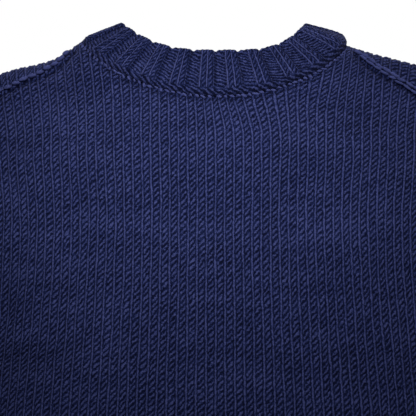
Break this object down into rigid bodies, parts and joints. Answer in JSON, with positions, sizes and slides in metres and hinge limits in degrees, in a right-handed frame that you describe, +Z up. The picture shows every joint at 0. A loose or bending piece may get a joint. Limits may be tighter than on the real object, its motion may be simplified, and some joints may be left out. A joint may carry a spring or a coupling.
{
  "type": "cropped sweater",
  "caption": "Cropped hand-knit style sweater with a ribbed crew neck, hem and cuffs and dropped shoulders, filled out and hollow as when worn",
  "frame": {"origin": "middle of the neck opening, level with the points where the neck meets the shoulders, where the wearer holds the sweater up", "axes": "+Z up, +X to the wearer's right, the back of the sweater faces -Y and its front faces +Y"},
  "size_m": [0.9217, 0.256, 0.6375],
  "materials": {
    "back_panel": "matte knit yarn",
    "front_panel": "matte knit yarn",
    "sleeve_left": "matte knit yarn",
    "sleeve_right": "matte knit yarn",
    "neck_band": "matte knit yarn",
    "cuff_left": "matte knit yarn",
    "cuff_right": "matte knit yarn",
    "hem_band": "matte knit yarn"
  },
  "bodies": {
    "root": {"back_panel": "back_panel", "front_panel": "front_panel", "sleeve_left": "sleeve_left", "sleeve_right": "sleeve_right", "neck_band": "neck_band", "cuff_left": "cuff_left", "cuff_right": "cuff_right", "hem_band": "hem_band"}
  },
  "joints": []
}
